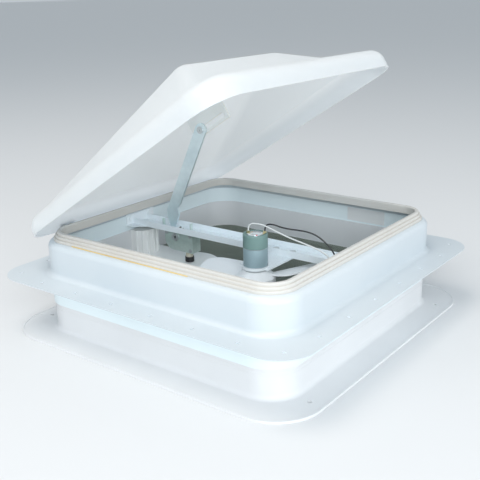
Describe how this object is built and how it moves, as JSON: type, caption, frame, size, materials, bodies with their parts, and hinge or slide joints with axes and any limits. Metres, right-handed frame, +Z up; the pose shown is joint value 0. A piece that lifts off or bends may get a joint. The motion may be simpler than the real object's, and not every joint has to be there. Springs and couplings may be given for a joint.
{
  "type": "caravan roof vent",
  "caption": "Square caravan roof vent: flanged collar with ribbed rim seal, crank-lifted domed lid, crossbar with 12 V fan, insect screen and ceiling trim ring",
  "frame": {"origin": "centre of the roof opening, on the roof's upper skin, which is the underside of the roof flange", "axes": "+Z up out of the roof, +X from the lid's hinge side to the side that lifts, +Y away from the fan"},
  "size_m": [0.4274, 0.4274, 0.3171],
  "materials": {
    "frame_paint": "white stove enamel, smooth",
    "liner_white": "white enamel, slightly blue in shade",
    "seal_cream": "cream sponge rubber with a skin",
    "adhesive_amber": "aged amber adhesive",
    "trim_white": "white moulded plastic, fine satin",
    "screen_grey": "grey coated glass-fibre net",
    "bar_paint": "white enamel, smooth",
    "rivet_steel": "zinc-plated steel",
    "case_steel": "zinc-plated stamping, dull",
    "bushing_plastic": "dark nylon",
    "gear_steel": "machined steel, oiled",
    "arm_zinc": "zinc-plated strap, slightly blue",
    "coupler_black": "black nylon",
    "knob_white": "white moulded plastic",
    "lid_white": "white moulded plastic, semi-gloss",
    "track_white": "white nylon",
    "hinge_steel": "zinc-plated sheet steel",
    "motor_steel": "bare drawn steel can",
    "cap_grey": "grey-green moulded end cap",
    "terminal_brass": "brass tab",
    "fan_white": "white moulded plastic",
    "switch_black": "black moulded plastic",
    "lead_white": "white PVC insulation",
    "lead_black": "black PVC insulation",
    "plate_silver": "thin bare plate, satin"
  },
  "bodies": {
    "frame": {"roof_frame": "frame_paint", "neck_liner": "liner_white", "rim_seal": "seal_cream", "seal_adhesive": "adhesive_amber", "trim_ring": "trim_white", "screen_frame": "trim_white", "insect_screen": "screen_grey", "crank_well": "trim_white", "crossbar": "bar_paint", "crossbar_rivets": "rivet_steel", "operator_case": "case_steel", "operator_cover": "case_steel", "operator_rivets": "rivet_steel", "arm_pivot": "rivet_steel", "shaft_bushing": "bushing_plastic", "hinge_base_leaves": "hinge_steel", "hinge_pins": "rivet_steel", "base_leaf_rivets": "rivet_steel", "motor_bracket": "bar_paint", "bracket_screws": "rivet_steel", "motor_can": "motor_steel", "motor_cap": "cap_grey", "motor_terminals": "terminal_brass", "motor_screws": "rivet_steel", "switch_body": "switch_black", "rocker_pin": "rivet_steel", "white_lead": "lead_white", "black_lead": "lead_black", "rating_plate": "plate_silver"},
    "lid": {"lid": "lid_white", "lid_track": "track_white", "hinge_lid_leaves": "hinge_steel", "lid_leaf_rivets": "rivet_steel"},
    "arm": {"lift_arm": "arm_zinc", "sector_gear": "gear_steel", "link_rivets": "rivet_steel", "arm_tip_pin": "rivet_steel"},
    "crank": {"worm_shaft": "gear_steel", "shaft_coupler": "coupler_black", "crank_knob": "knob_white"},
    "fan_rotor": {"motor_shaft": "gear_steel", "fan": "fan_white"},
    "switch": {"switch_rocker": "switch_black"}
  },
  "joints": [
    {"name": "lid_hinge", "type": "hinge", "parent": "frame", "child": "lid", "pos_m": [-0.187, 0, 0.013], "axis": [0, -1, 0], "range_deg": [-32, 4]},
    {"name": "arm_swing", "type": "hinge", "parent": "frame", "child": "arm", "pos_m": [-0.1048, 0, 0.0125], "axis": [0, -1, 0], "range_deg": [-51.2, 6.4]},
    {"name": "crank_turn", "type": "hinge", "parent": "frame", "child": "crank", "pos_m": [-0.0886, 0, 0], "axis": [0, 0, -1], "range_deg": [-921.6, 115.2]},
    {"name": "fan_spin", "type": "hinge", "parent": "frame", "child": "fan_rotor", "pos_m": [0.062, -0.058, 0], "axis": [0, 0, 1], "continuous": true},
    {"name": "switch_rock", "type": "hinge", "parent": "frame", "child": "switch", "pos_m": [0.152, -0.032, -0.0215], "axis": [1, 0, 0], "range_deg": [-8, 8]}
  ],
  "couplings": [
    {"joint": "arm_swing", "follows": "lid_hinge", "ratio": 1.6},
    {"joint": "crank_turn", "follows": "lid_hinge", "ratio": 28.8}
  ]
}
